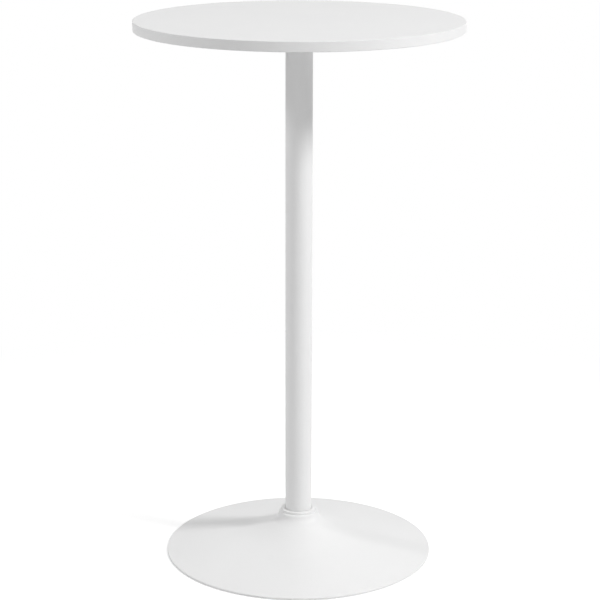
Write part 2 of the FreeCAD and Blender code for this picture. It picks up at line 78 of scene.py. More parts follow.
class Finish:
    # the node tree of one material, or of the world
    def __init__(self, owner):
        self.owner = owner
        owner.use_nodes = True
        self.tree = owner.node_tree
        self.tree.nodes.clear()

    def node(self, kind, settings=None, sockets=None, out=0):
        # settings come first, then the sockets' values or wires
        made = self.tree.nodes.new("ShaderNode" + kind)
        for key, value in (settings or {}).items():
            setattr(made, key, value)
        for key, value in (sockets or {}).items():
            if isinstance(value, Wire):
                self.tree.links.new(value.socket, made.inputs[key])
            else:
                made.inputs[key].default_value = value
        return Wire(self, made.outputs[out]) if made.outputs else None

    def maths(self, operation, *values):
        return self.node("Math", {"operation": operation}, dict(enumerate(values)))

    def place(self):
        return self.node("TexCoord", out="Object")

    def stretched(self, place, scale):
        return self.node("VectorMath", {"operation": "MULTIPLY"}, {0: place, 1: scale})

    def turned(self, place, turn):
        return self.node("VectorRotate", {"rotation_type": "Z_AXIS"}, {"Vector": place, "Angle": turn})

    def split(self, place):
        parts = self.node("SeparateXYZ", None, {0: place}).socket.node
        return [Wire(self, parts.outputs[axis]) for axis in range(3)]

    def grain(self, place, size, detail=2.0, roughness=0.5, distortion=0.0):
        # noise whose lumps are about one size across
        sockets = {"Vector": place, "Scale": 1 / size, "Detail": detail, "Roughness": roughness,
                   "Distortion": distortion}
        return self.node("TexNoise", None, sockets)

    def cells(self, place, size):
        return self.node("TexVoronoi", None, {"Vector": place, "Scale": 1 / size})

    def ramped(self, value, low, high, start=0.0, end=1.0):
        sockets = {"Value": value, "From Min": low, "From Max": high, "To Min": start, "To Max": end}
        return self.node("MapRange", {"interpolation_type": "SMOOTHSTEP"}, sockets)

    def fading(self, value, low, high):
        return self.ramped(value, low, high, 1.0, 0.0)

    def blended(self, factor, first, second):
        # mixes two colours; each is a wire or red, green and blue
        sockets = {0: factor, 6: (*first, 1) if isinstance(first, tuple) else first,
                   7: (*second, 1) if isinstance(second, tuple) else second}
        return self.node("Mix", {"data_type": "RGBA"}, sockets, out=2)

    def scratched(self, place, spec):
        # straight hairlines in a few directions, each only in some patches
        found = None
        for turn, size in spec["strokes"]:
            rotated = self.turned(place, turn)
            squeezed = self.stretched(rotated, (1.0, spec["squeeze"], 1.0))
            lines = self.grain(squeezed, size, detail=1.0, roughness=0.3)
            patches = self.grain(rotated, spec["patchSize"], detail=1.0)
            hairs = self.ramped(lines, *spec["lineRange"]) * self.ramped(patches, *spec["patchRange"])
            found = hairs if found is None else self.maths("MAXIMUM", found, hairs)
        return found

    def shaded(self, colour, roughness, relief, **uniform):
        # relief is a height in millimetres
        normal = self.node("Bump", None, {"Height": relief, "Strength": 1.0, "Distance": 0.001})
        sockets = {"Base Color": colour, "Roughness": roughness, "Normal": normal}
        sockets.update({key.replace("_", " "): value for key, value in uniform.items()})
        return self.finished(self.node("BsdfPrincipled", None, sockets))

    def finished(self, shader, output="OutputMaterial"):
        self.node(output, None, {"Surface": shader})
        return self.owner


def newFinish(name):
    return Finish(bpy.data.materials.new(name))


# finishes: sizes, widths and zones in metres, relief heights and depths in millimetres; a Range is
# where a ramp starts and ends, a Share how much of a colour is mixed in, and a Sheen or a Dulling how
# far a pattern moves the roughness

noiseMiddle = 0.5  # the patterns' middles, from which they move it both ways
cellMiddle = 0.4

powderCoat = {
    "white": (0.842, 0.842, 0.842),
    # the darker colour: painted shade in the grain's pits, and cloudy random tone
    "pitShadeAndCloud": (0.818, 0.818, 0.819),
    "dust": (0.76, 0.755, 0.745),
    "roughness": 0.50,
    "ior": 1.48,
    "grain": {"size": 0.0016, "roughness": 0.55},
    "grainHeight": 0.20,
    "grainSheen": 0.16,
    "peel": {"size": 0.0050, "detail": 1.0, "roughness": 0.4},
    "peelHeight": 0.10,
    "pitShadeRange": (0.34, 0.52),
    "pitShadeShare": 0.55,
    "cloud": {"size": 0.09},
    "cloudRange": (0.3, 0.7),
    "cloudShare": 0.25,
    "smudge": {"size": 0.035, "detail": 4.0, "roughness": 0.6, "distortion": 0.6},
    "smudgeRange": (0.48, 0.72),
    "smudgeSheen": 0.05,
    "dustRange": (0.35, 0.65),
    "dustThin": 0.5,  # what a thin patch keeps
    "dustShare": 0.02,
    "dustDulling": 0.5,
    "speck": {"size": 0.0021, "detail": 3.0, "roughness": 0.7},
    "speckRange": (0.60, 0.72),
    "speckShare": 0.08,
}


def powderCoatFinish(name, dustLow, dustHigh):
    # matte powder coat: fine grain on a soft orange peel, painted shade in the grain's pits, a trace
    # of dust that thins out from dustLow up to dustHigh
    spec = powderCoat
    finish = newFinish(name)
    place = finish.place()
    height = finish.split(place)[2]
    grain = finish.grain(place, **spec["grain"])
    peel = finish.grain(place, **spec["peel"])
    cloud = finish.grain(place, **spec["cloud"])
    smudge = finish.ramped(finish.grain(place, **spec["smudge"]), *spec["smudgeRange"])
    # painted shade: the grain's low spots, its pits, are coloured darker
    pitShade = finish.fading(grain, *spec["pitShadeRange"])
    speck = finish.ramped(finish.grain(place, **spec["speck"]), *spec["speckRange"])
    settled = finish.ramped(cloud, *spec["dustRange"], spec["dustThin"], 1.0)
    dust = finish.fading(height, dustLow, dustHigh) * settled
    dust = dust * (spec["dustShare"] + spec["speckShare"] * speck)
    clouding = finish.ramped(cloud, *spec["cloudRange"])
    # painted shade in the pits, plus cloudy random tone
    pitShadeAndClouding = pitShade * spec["pitShadeShare"] + clouding * spec["cloudShare"]
    colour = finish.blended(pitShadeAndClouding, spec["white"], spec["pitShadeAndCloud"])
    colour = finish.blended(dust, colour, spec["dust"])
    roughness = spec["roughness"] + (grain - noiseMiddle) * spec["grainSheen"]
    roughness = roughness - smudge * spec["smudgeSheen"] + dust * spec["dustDulling"]
    relief = grain * spec["grainHeight"] + peel * spec["peelHeight"]
    return finish.shaded(colour, roughness, relief, IOR=spec["ior"])


laminate = {
    "white": (0.801, 0.801, 0.800),
    "clouded": (0.795, 0.795, 0.796),
    "speckShade": (0.70, 0.695, 0.685),
    "backing": (0.735, 0.733, 0.727),
    "backingFibre": (0.722, 0.720, 0.713),
    "jointShade": (0.46, 0.45, 0.42),
    "roughness": 0.66,
    "specular": 0.20,
    "ior": 1.50,
    "pearlSize": 0.0007,
    "pearlHeight": 0.022,
    "pearlSheen": 0.06,
    "ripple": {"size": 0.004},
    "rippleHeight": 0.010,
    "cloud": {"size": 0.12, "detail": 3.0, "roughness": 0.55},
    "cloudRange": (0.3, 0.7),
    "wipedStretch": (1.0, 0.22, 1.0),
    "smudge": {"size": 0.030, "detail": 4.0, "roughness": 0.6, "distortion": 0.4},
    "smudgeRange": (0.50, 0.70),
    "smudgeSheen": 0.06,
    "speck": {"size": 0.0016, "roughness": 0.6},
    "speckRange": (0.72, 0.78),
    "speckShare": 0.10,
    "jointWidth": 0.0005,
    "jointShare": 0.8,
    "backingZone": 0.0006,
    "backingDulling": 0.10,
    "fibreStretch": (1.0, 0.5, 1.0),
    "fibre": {"size": 0.0016, "detail": 4.0, "roughness": 0.65, "distortion": 0.8},
    "fibreRange": (0.40, 0.66),
    "fibreHeight": 0.01,
    "scratchDepth": 0.004,
    "scratchSheen": 0.08,
    "scratches": {
        "strokes": ((0.35, 0.0011), (1.25, 0.0009), (2.3, 0.0012)),  # turn and width
        "squeeze": 0.012,
        "lineRange": (0.735, 0.76),
        "patchSize": 0.05,
        "patchRange": (0.52, 0.62),
    },
}


def laminateFinish():
    # melamine face: tiny pearl texture, wiped smudges, hairline scratches in the sheen and a fine
    # joint line at the edge band; the underside is a plainer backing sheet with paper fibres
    spec = laminate
    finish = newFinish("whiteLaminate")
    place = finish.place()
    low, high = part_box("tabletop_board")
    x, y, z = finish.split(place)
    rimGap = high.x - finish.maths("SQRT", x * x + y * y)
    joint = finish.fading(rimGap, 0.0, spec["jointWidth"])
    backing = finish.fading(z, low.z, low.z + spec["backingZone"])
    fibre = finish.grain(finish.stretched(place, spec["fibreStretch"]), **spec["fibre"])
    pearl = finish.cells(place, spec["pearlSize"])
    ripple = finish.grain(place, **spec["ripple"])
    cloud = finish.ramped(finish.grain(place, **spec["cloud"]), *spec["cloudRange"])
    wiped = finish.stretched(place, spec["wipedStretch"])
    smudge = finish.ramped(finish.grain(wiped, **spec["smudge"]), *spec["smudgeRange"])
    scratches = finish.scratched(place, spec["scratches"])
    speck = finish.ramped(finish.grain(place, **spec["speck"]), *spec["speckRange"])
    paper = finish.blended(finish.ramped(fibre, *spec["fibreRange"]), spec["backing"], spec["backingFibre"])
    colour = finish.blended(cloud, spec["white"], spec["clouded"])
    colour = finish.blended(speck * spec["speckShare"], colour, spec["speckShade"])
    colour = finish.blended(backing, colour, paper)
    colour = finish.blended(joint * spec["jointShare"], colour, spec["jointShade"])
    roughness = spec["roughness"] + (pearl - cellMiddle) * spec["pearlSheen"]
    roughness = roughness - smudge * spec["smudgeSheen"] - scratches * spec["scratchSheen"]
    roughness = roughness + backing * spec["backingDulling"]
    relief = pearl * spec["pearlHeight"] + ripple * spec["rippleHeight"]
    relief = relief - scratches * spec["scratchDepth"] + backing * fibre * spec["fibreHeight"]
    return finish.shaded(colour, roughness, relief, IOR=spec["ior"], Specular_IOR_Level=spec["specular"])


edgeBand = {
    "white": (0.812, 0.812, 0.812),
    "drawn": (0.782, 0.782, 0.783),
    "scraped": (0.781, 0.781, 0.780),
    "seamShade": (0.45, 0.44, 0.42),
    "roughness": 0.50,
    "ior": 1.49,
    "lines": {"size": 0.0011},
    "lineSqueeze": 0.05,
    "lineRange": (0.35, 0.65),
    "lineShare": 0.5,
    "lineHeight": 0.045,
    "lineSheen": 0.12,
    "pearl": {"size": 0.0008},
    "pearlHeight": 0.015,
    "edgeZone": 0.0012,
    "edgeShare": 0.35,
    "edgeDulling": 0.06,
    "chatter": {"size": 0.0013},
    "chatterRange": (0.4, 0.6),
    "chatterDulling": 0.05,
    "chatterHeight": 0.004,
    "seamAngle": 2.05,  # radians from the x axis
    "seamWidth": 0.00025,
    "seamShare": 0.6,
    "seamDepth": 0.12,
}


def edgeBandFinish():
    # extruded plastic edging: lines drawn along it, scraped edges, one butt seam at the back
    spec = edgeBand
    low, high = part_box("tabletop_edge_band")
    radius = high.x
    finish = newFinish("whiteEdgeBand")
    place = finish.place()
    x, y, z = finish.split(place)
    along = finish.maths("ARCTAN2", y, x) * radius
    linesPlace = finish.node("CombineXYZ", None, {0: along * spec["lineSqueeze"], 1: z})
    lines = finish.grain(linesPlace, **spec["lines"])
    pearl = finish.grain(place, **spec["pearl"])
    edgeGap = finish.maths("MINIMUM", high.z - z, z - low.z)
    edge = finish.fading(edgeGap, 0.0, spec["edgeZone"])
    chatterPlace = finish.node("CombineXYZ", None, {0: along})
    chatter = finish.ramped(finish.grain(chatterPlace, **spec["chatter"]), *spec["chatterRange"])
    seamGap = finish.maths("ABSOLUTE", along - spec["seamAngle"] * radius)
    seam = finish.fading(seamGap, 0.0, spec["seamWidth"])
    drawn = finish.ramped(lines, *spec["lineRange"]) * spec["lineShare"]
    colour = finish.blended(drawn, spec["white"], spec["drawn"])
    colour = finish.blended(edge * spec["edgeShare"], colour, spec["scraped"])
    colour = finish.blended(seam * spec["seamShare"], colour, spec["seamShade"])
    roughness = spec["roughness"] + (lines - noiseMiddle) * spec["lineSheen"]
    roughness = roughness + edge * (spec["edgeDulling"] + spec["chatterDulling"] * chatter)
    relief = lines * spec["lineHeight"] + pearl * spec["pearlHeight"]
    relief = relief + chatter * edge * spec["chatterHeight"] - seam * spec["seamDepth"]
    return finish.shaded(colour, roughness, relief, IOR=spec["ior"])


collarPlastic = {
    "white": (0.835, 0.835, 0.833),
    "shade": (0.80, 0.80, 0.797),
    # the groove's colour: painted shade, with dust specks
    "dust": (0.60, 0.59, 0.57),
    "roughness": 0.38,
    "ior": 1.49,
    "sparkSize": 0.0006,
    "sparkHeight": 0.012,
    "sparkSheen": 0.10,
    "flowStretch": (1.0, 1.0, 0.3),
    "flow": {"size": 0.012},
    "flowRange": (0.3, 0.7),
    "flowShare": 0.5,
    "flowHeight": 0.010,
    "grooveWidth": 0.0026,
    "grooveShadeShare": 0.08,
    "grooveDulling": 0.15,
    "speck": {"size": 0.0013, "detail": 3.0, "roughness": 0.6},
    "speckRange": (0.45, 0.65),
    "speckShare": 0.12,
    "partingWidth": 0.00018,
    "partingHeight": 0.03,
}


def collarFinish():
    # moulded plastic: spark texture, a parting line, painted shade with dust specks in the groove
    spec = collarPlastic
    finish = newFinish("whiteCollarPlastic")
    place = finish.place()
    x, y = finish.split(place)[:2]
    spark = finish.cells(place, spec["sparkSize"])
    flow = finish.grain(finish.stretched(place, spec["flowStretch"]), **spec["flow"])
    radius = finish.maths("SQRT", x * x + y * y)
    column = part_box("column_tube")[1].x
    groove = finish.fading(radius, column, column + spec["grooveWidth"])
    speck = finish.ramped(finish.grain(place, **spec["speck"]), *spec["speckRange"])
    parting = finish.fading(finish.maths("ABSOLUTE", y), 0.0, spec["partingWidth"])
    shade = finish.ramped(flow, *spec["flowRange"]) * spec["flowShare"]
    # painted shade in the groove next to the column, with dust specks in it
    dust = groove * (spec["grooveShadeShare"] + spec["speckShare"] * speck)
    colour = finish.blended(shade, spec["white"], spec["shade"])
    colour = finish.blended(dust, colour, spec["dust"])
    roughness = spec["roughness"] + (spark - cellMiddle) * spec["sparkSheen"]
    roughness = roughness + groove * spec["grooveDulling"]
    relief = spark * spec["sparkHeight"] + flow * spec["flowHeight"] + parting * spec["partingHeight"]
    return finish.shaded(colour, roughness, relief, IOR=spec["ior"])


ringPlastic = {
    "white": (0.72, 0.72, 0.71),
    "shade": (0.68, 0.68, 0.67),
    "worn": (0.42, 0.40, 0.37),
    "roughness": 0.62,
    "ior": 1.48,
    "pebble": {"size": 0.0009, "detail": 3.0, "roughness": 0.6},
    "pebbleRange": (0.3, 0.7),
    "pebbleShare": 0.3,
    "pebbleHeight": 0.03,
    "pebbleSheen": 0.15,
    "soleZone": 0.0012,
    "wear": {"size": 0.014, "detail": 4.0, "roughness": 0.65, "distortion": 0.5},
    "wearRange": (0.42, 0.66),
    "wearShare": 0.5,
    "wearDepth": 0.02,
    "wearDulling": 0.12,
}


def ringFinish():
    # soft plastic that stands on the floor: scuffed and dusty underneath
    spec = ringPlastic
    finish = newFinish("whiteSoftRing")
    place = finish.place()
    height = finish.split(place)[2]
    pebble = finish.grain(place, **spec["pebble"])
    patches = finish.ramped(finish.grain(place, **spec["wear"]), *spec["wearRange"])
    worn = finish.fading(height, 0.0, spec["soleZone"]) * patches
    shade = finish.ramped(pebble, *spec["pebbleRange"]) * spec["pebbleShare"]
    colour = finish.blended(shade, spec["white"], spec["shade"])
    colour = finish.blended(worn * spec["wearShare"], colour, spec["worn"])
    roughness = spec["roughness"] + (pebble - noiseMiddle) * spec["pebbleSheen"]
    roughness = roughness + worn * spec["wearDulling"]
    relief = pebble * spec["pebbleHeight"] - worn * spec["wearDepth"]
    return finish.shaded(colour, roughness, relief, IOR=spec["ior"])


primer = {
    "black": (0.028, 0.029, 0.031),
    "grey": (0.060, 0.061, 0.064),
    "steel": (0.33, 0.33, 0.34),
    "roughness": 0.56,
    "ior": 1.5,
    "mottle": {"size": 0.018, "detail": 5.0, "roughness": 0.6},
    "mottleRange": (0.3, 0.7),
    "mottleSheen": 0.2,
    "rolledStretch": (0.06, 1.0, 1.0),
    "rolled": {"size": 0.0012},
    "rolledHeight": 0.010,
    "sprayed": {"size": 0.0007, "roughness": 0.6},
    "sprayedHeight": 0.018,
    "sprayedSheen": 0.25,
    "bareShare": 0.8,
    "bareSheen": 0.2,
    "scratchDepth": 0.012,
    "scratches": {
        "strokes": ((0.6, 0.0009), (1.9, 0.0011)),  # turn and width
        "squeeze": 0.015,
        "lineRange": (0.72, 0.75),
        "patchSize": 0.03,
        "patchRange": (0.50, 0.62),
    },
}


def primerFinish():
    # thin black primer on rolled plate: mill marks, dusty overspray, scratches down to steel
    spec = primer
    finish = newFinish("blackPrimedSteel")
    place = finish.place()
    mottle = finish.grain(place, **spec["mottle"])
    rolled = finish.grain(finish.stretched(place, spec["rolledStretch"]), **spec["rolled"])
    sprayed = finish.grain(place, **spec["sprayed"])
    scratches = finish.scratched(place, spec["scratches"])
    bare = scratches * spec["bareShare"]
    colour = finish.blended(finish.ramped(mottle, *spec["mottleRange"]), spec["black"], spec["grey"])
    colour = finish.blended(bare, colour, spec["steel"])
    roughness = spec["roughness"] + (sprayed - noiseMiddle) * spec["sprayedSheen"]
    roughness = roughness + (mottle - noiseMiddle) * spec["mottleSheen"] - bare * spec["bareSheen"]
    relief = rolled * spec["rolledHeight"] + sprayed * spec["sprayedHeight"]
    relief = relief - scratches * spec["scratchDepth"]
    return finish.shaded(colour, roughness, relief, Metallic=bare, IOR=spec["ior"])


zincPlate = {
    "bright": (0.64, 0.65, 0.66),
    "dull": (0.50, 0.51, 0.52),
    "yellowed": (0.62, 0.60, 0.52),
    "roughness": 0.34,
    "cloud": {"size": 0.0035, "detail": 4.0, "roughness": 0.6},
    "cloudRange": (0.35, 0.65),
    "cloudSheen": 0.22,
    "tint": {"size": 0.006},
    "tintRange": (0.5, 0.7),
    "tintShare": 0.25,
    "marksStretch": (1.0, 1.0, 14.0),
    "marks": {"size": 0.0018},
    "marksHeight": 0.006,
    "scuff": {"size": 0.0011, "detail": 3.0, "roughness": 0.7},
    "scuffRange": (0.58, 0.68),
    "scuffHeight": 0.004,
    "scuffDulling": 0.12,
}


def zincFinish():
    # bright zinc plate: cloudy passivation, turning marks, small scuffs
    spec = zincPlate
    finish = newFinish("zincPlatedSteel")
    place = finish.place()
    cloud = finish.grain(place, **spec["cloud"])
    tint = finish.ramped(finish.grain(place, **spec["tint"]), *spec["tintRange"])
    marks = finish.grain(finish.stretched(place, spec["marksStretch"]), **spec["marks"])
    scuff = finish.ramped(finish.grain(place, **spec["scuff"]), *spec["scuffRange"])
    colour = finish.blended(finish.ramped(cloud, *spec["cloudRange"]), spec["bright"], spec["dull"])
    colour = finish.blended(tint * spec["tintShare"], colour, spec["yellowed"])
    roughness = spec["roughness"] + (cloud - noiseMiddle) * spec["cloudSheen"]
    roughness = roughness + scuff * spec["scuffDulling"]
    relief = marks * spec["marksHeight"] + scuff * spec["scuffHeight"]
    return finish.shaded(colour, roughness, relief, Metallic=1.0)


# heights between which the dust thins out; none lies under the top, so the plate's are below the floor
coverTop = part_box("base_cover")[1].z
columnDust = 0.05  # how far up the column it reaches
dustZones = {
    "column": (coverTop, coverTop + columnDust),
    "cover": (0.004, 0.085),
    "plate": (-1.0, -0.9),
}
slotFinishes = {
    "white_powder_coat": powderCoatFinish("whitePowderCoatPlate", *dustZones["plate"]),
    "black_steel": primerFinish(),
    "zinc_steel": zincFinish(),
}
nodeFinishes = {
    "tabletop_board": laminateFinish(),
    "tabletop_edge_band": edgeBandFinish(),
    "column_tube": powderCoatFinish("whitePowderCoatColumn", *dustZones["column"]),
    "base_cover": powderCoatFinish("whitePowderCoatCover", *dustZones["cover"]),
    "trim_collar": collarFinish(),
    "rim_ring": ringFinish(),
}
for name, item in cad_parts.items():
    slotName = item.material_slots[0].name
    item.data.materials[0] = nodeFinishes[name] if name in nodeFinishes else slotFinishes[slotName]
print("stage: finishes on the packed nodes")


# pieces with more shape than their solids, built from loops of points

flatAngle = math.radians(28)  # edges that turn further stay sharp in the shading


def meshPiece(name, points, faces, slotName, node):
    # a smooth mesh with its faces turned outward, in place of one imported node
    mesh = bpy.data.meshes.new(name)
    mesh.from_pydata(points, [], faces)
    mesh.validate()
    work = bmesh.new()
    work.from_mesh(mesh)
    bmesh.ops.recalc_face_normals(work, faces=work.faces)
    work.to_mesh(mesh)
    work.free()
    mesh.materials.append(slotFinishes[slotName])
    for polygon in mesh.polygons:
        polygon.use_smooth = True
    piece = bpy.data.objects.new(name, mesh)
    bpy.context.scene.collection.objects.link(piece)
    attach(piece, "root")
    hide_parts(node)
    return piece


def flatFaced(piece):
    # keeps large faces flat in the shading and lets only the eased edges turn
    piece.data.set_sharp_from_angle(angle=flatAngle)
    piece.modifiers.new("flatFaces", "WEIGHTED_NORMAL").keep_sharp = True


def bandFaces(first, loops):
    # quads between neighbouring loops of equal length, whose points start at index first
    count = len(loops[0])
    faces = []
    for row in range(len(loops) - 1):
        lower, upper = first + row * count, first + (row + 1) * count
        for step in range(count):
            after = (step + 1) % count
            faces.append((lower + step, lower + after, upper + after, upper + step))
    return faces


def stacked(loops, closed):
    # points and faces of a body of loops, closed on itself like a ring or capped at both ends
    faces = bandFaces(0, loops)
    count = len(loops[0])
    last = (len(loops) - 1) * count
    if closed:
        for step in range(count):
            after = (step + 1) % count
            faces.append((last + step, last + after, after, step))
    else:
        faces += [tuple(range(count)), tuple(range(last, last + count))]
    return [place for loop in loops for place in loop], faces


weldBead = {
    "steps": 720,
    "faceSteps": 9,
    "ripplePitch": 0.0021,
    "rippleHeight": 0.00022,
    "crescent": 1.9,  # how far a ripple bends, in radians of its phase
    "crown": 0.00045,
    "wander": 0.00018,
    "waves": ((3, 0.7, 1.0), (7, 2.1, 0.6)),  # count, start and strength
}


def beadPiece(name, node, slotName, outward, upward):
    # a ring in the corner between a round wall and a plate, crowned and rippled like stacked coins
    spec = weldBead
    low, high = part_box(node)
    leg = high.z - low.z
    wallRadius = high.x - leg if outward else high.x
    plateLevel = low.z if upward else high.z
    ripples = round(2 * math.pi * wallRadius / spec["ripplePitch"])
    sections = []
    for step in range(spec["steps"]):
        turn = 2 * math.pi * step / spec["steps"]
        drift = sum(strength * math.sin(count * turn + start) for count, start, strength in spec["waves"])
        crown = spec["crown"] + spec["wander"] * drift
        corners = [(0.0, 0.0)]
        for row in range(spec["faceSteps"]):
            share = row / (spec["faceSteps"] - 1)
            hump = math.sin(math.pi * share)
            phase = turn * ripples + spec["crescent"] * (1 - hump)
            lift = hump * (crown + spec["rippleHeight"] * abs(math.cos(phase / 2))) * math.sqrt(0.5)
            corners.append((leg * share + lift, leg * (1 - share) + lift))
        section = []
        for across, along in corners:
            radius = wallRadius + (across if outward else -across)
            level = plateLevel + (along if upward else -along)
            section.append((radius * math.cos(turn), radius * math.sin(turn), level))
        sections.append(section)
    meshPiece(name, *stacked(sections, closed=True), slotName, node)


beadPiece("columnTopBead", "column_top_weld", "white_powder_coat", outward=True, upward=False)
beadPiece("columnFootBead", "column_foot_weld", "white_powder_coat", outward=False, upward=False)
beadPiece("socketBead", "socket_weld", "black_steel", outward=True, upward=True)
beadPiece("socketSeatBead", "socket_seat_weld", "black_steel", outward=False, upward=False)
print("stage: weld beads")


# screws, nuts and bolt with hexagons, chamfers and threads

fastening = {
    "steps": 72,
    "depthShare": 0.56,  # of the pitch, as are the next two
    "flatShare": 0.16,
    "runOutShare": 0.8,
    "rowsPerPitch": 8,
    "hexChamfer": math.radians(30),
    "hexFlatShare": 0.95,
    "socketEase": 0.0002,
    "smallThread": {"radius": 0.003, "pitch": 0.001},
    "largeThread": {"radius": 0.006, "pitch": 0.00175},
}


def roundLoop(radius, level):
    # radius is a number or a function of the turn, level a number or a function of the radius
    loop = []
    for step in range(fastening["steps"]):
        turn = 2 * math.pi * step / fastening["steps"]
        reach = radius(turn) if callable(radius) else radius
        height = level(reach) if callable(level) else level
        loop.append((reach * math.cos(turn), reach * math.sin(turn), height))
    return loop


def hexLoop(width, level):
    sixth = math.pi / 3

    def reach(turn):
        return width / 2 / math.cos(turn % sixth - sixth / 2)
    return roundLoop(reach, level)


def threadLoops(thread, low, high):
    # an outside thread that runs out at both ends and never stands proud of its nominal radius
    spec = fastening
    pitch, flat = thread["pitch"], spec["flatShare"]
    runOut = pitch * spec["runOutShare"]
    rows = round((high - low) / pitch * spec["rowsPerPitch"])
    loops = []
    for row in range(rows + 1):
        level = low + (high - low) * row / rows
        depth = pitch * spec["depthShare"] * min(1.0, (level - low) / runOut, (high - level) / runOut)

        def radius(turn, level=level, depth=depth):
            phase = (level / pitch - turn / (2 * math.pi)) % 1.0
            valley = (1 - abs(2 * phase - 1) - flat) / (1 - 2 * flat)
            return thread["radius"] - depth * min(1.0, max(0.0, valley))
        loops.append(roundLoop(radius, level))
    return loops


def chamferedHex(width, face, inward):
    # the flat ring and the cut corners of a hexagon's end; inward is +1 or -1 along z
    flat = width / 2 * fastening["hexFlatShare"]
    slope = math.tan(fastening["hexChamfer"])

    def level(reach):
        return face + inward * max(0.0, reach - flat) * slope
    return [roundLoop(flat, face), hexLoop(width, level)]


def socketLoops(width, depth, face):
    # a hexagon socket that opens downward at the level face, from the middle of its floor outward
    ease = fastening["socketEase"]
    floor = [roundLoop(width / 4, face + depth), hexLoop(width, face + depth)]
    return floor + [hexLoop(width, face + ease), hexLoop(width + 2 * ease, face)]


def fourPlaces(node, radius):
    # x, y and turn of a node's four copies, whose outermost points lie radius beyond their axes
    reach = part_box(node)[1].x - radius
    turns = [math.pi / 4 + math.pi / 2 * quarter for quarter in range(4)]
    distance = math.hypot(reach, reach)
    return [(distance * math.cos(turn), distance * math.sin(turn), turn) for turn in turns]


def fastenerPiece(name, loops, places, node, closed=False):
    # one copy of the body of loops at each place
    bodyPoints, bodyFaces = stacked(loops, closed)
    points, faces = [], []
    for x, y, turn in places:
        first = len(points)
        move = Matrix.Translation((x, y, 0)) @ Matrix.Rotation(turn, 4, "Z")
        points += [tuple(move @ Vector(place)) for place in bodyPoints]
        faces += [tuple(first + corner for corner in face) for face in bodyFaces]
    flatFaced(meshPiece(name, points, faces, "zinc_steel", node))


plateScrew = {
    "radius": 0.00525,
    "height": 0.0033,
    "dome": 0.0024,
    "domeSteps": 8,
    "seatEase": 0.0001,
    "key": 0.004,
    "keyDepth": 0.002,
    "shank": 0.0056,
    "tipChamfer": 0.0005,
}


def plateScrews():
    # button heads face down, threads point up into the board
    spec, thread = plateScrew, fastening["smallThread"]
    low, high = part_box("top_plate_screws")
    seat = low.z + spec["height"]
    loops = socketLoops(spec["key"], spec["keyDepth"], low.z)
    for step in range(spec["domeSteps"] + 1):
        turn = math.pi / 2 * step / spec["domeSteps"]
        radius = spec["radius"] - spec["dome"] * (1 - math.sin(turn))
        loops.append(roundLoop(radius, low.z + spec["dome"] * (1 - math.cos(turn))))
    loops.append(roundLoop(spec["radius"], seat - spec["seatEase"]))
    loops.append(roundLoop(spec["radius"] - spec["seatEase"], seat))
    loops.append(roundLoop(thread["radius"], seat))
    loops += threadLoops(thread, seat + spec["shank"], high.z - spec["tipChamfer"])
    loops.append(roundLoop(thread["radius"] - spec["tipChamfer"], high.z))
    places = fourPlaces("top_plate_screws", spec["radius"])
    fastenerPiece("plateScrews", loops, places, "top_plate_screws")


bracketScrew = {
    "radius": 0.0063,
    "rim": 0.0001,
    "key": 0.004,
    "keyDepth": 0.002,
    "shank": 0.0008,
    "tipChamfer": 0.0005,
}


def bracketScrews():
    # sunk heads lie flush in the weight plate's underside
    spec, thread = bracketScrew, fastening["smallThread"]
    low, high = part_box("bracket_screws")
    sink = low.z + spec["radius"] - thread["radius"]
    loops = socketLoops(spec["key"], spec["keyDepth"], low.z)
    loops.append(roundLoop(spec["radius"] - 2 * spec["rim"], low.z))
    loops.append(roundLoop(spec["radius"] - spec["rim"], low.z + spec["rim"]))
    loops.append(roundLoop(thread["radius"], sink))
    loops += threadLoops(thread, sink + spec["shank"], high.z - spec["tipChamfer"])
    loops.append(roundLoop(thread["radius"] - spec["tipChamfer"], high.z))
    places = fourPlaces("bracket_screws", spec["radius"])
    fastenerPiece("bracketScrews", loops, places, "bracket_screws")


bracketNut = {"width": 0.010, "boreRadius": 0.0031, "boreChamfer": 0.0004}


def bracketNuts():
    # chamfered at both ends; the bore clears the screws' threads
    spec = bracketNut
    low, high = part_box("bracket_nuts")
    bore, chamfer = spec["boreRadius"], spec["boreChamfer"]
    loops = [roundLoop(bore + chamfer, low.z), *chamferedHex(spec["width"], low.z, 1)]
    loops += [*reversed(chamferedHex(spec["width"], high.z, -1)), roundLoop(bore + chamfer, high.z)]
    loops += [roundLoop(bore, high.z - chamfer), roundLoop(bore, low.z + chamfer)]
    places = fourPlaces("bracket_screws", bracketScrew["radius"])
    fastenerPiece("bracketNuts", loops, places, "bracket_nuts", closed=True)


hexBolt = {"width": 0.018, "headHeight": 0.0075, "shank": 0.0015, "tipChamfer": 0.001}


def centreBolt():
    # the head faces down in the weight plate's hole, the thread points up into the column's foot
    spec, thread = hexBolt, fastening["largeThread"]
    low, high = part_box("centre_bolt")
    seat = low.z + spec["headHeight"]
    loops = [*chamferedHex(spec["width"], low.z, 1), hexLoop(spec["width"], seat)]
    loops.append(roundLoop(thread["radius"], seat))
    loops += threadLoops(thread, seat + spec["shank"], high.z - spec["tipChamfer"])
    loops.append(roundLoop(thread["radius"] - spec["tipChamfer"], high.z))
    fastenerPiece("centreBolt", loops, [(0, 0, 0)], "centre_bolt")


plateScrews()
bracketScrews()
bracketNuts()
centreBolt()
print("stage: screws, nuts and bolt")


topPlate = {
    "cornerRadius": 0.025,
    "cornerSteps": 24,
    "holeRadius": 0.0035,
    "holeSteps": 48,
    "edgeEase": 0.0006,
    "easeSteps": 4,
}


def wallLoops(outline, low, high):
    # outline gives a loop for an inset and a level; the walls run from the low face to the high
    # one, with a rounded edge at both
    reach, steps = topPlate["edgeEase"], topPlate["easeSteps"]
    turns = [math.pi / 2 * step / steps for step in range(steps + 1)]
    ends = [(reach * (1 - math.sin(turn)), reach * (1 - math.cos(turn))) for turn in turns]
    loops = [outline(inset, low + drop) for inset, drop in ends]
    return loops + [outline(inset, high - drop) for inset, drop in reversed(ends)]


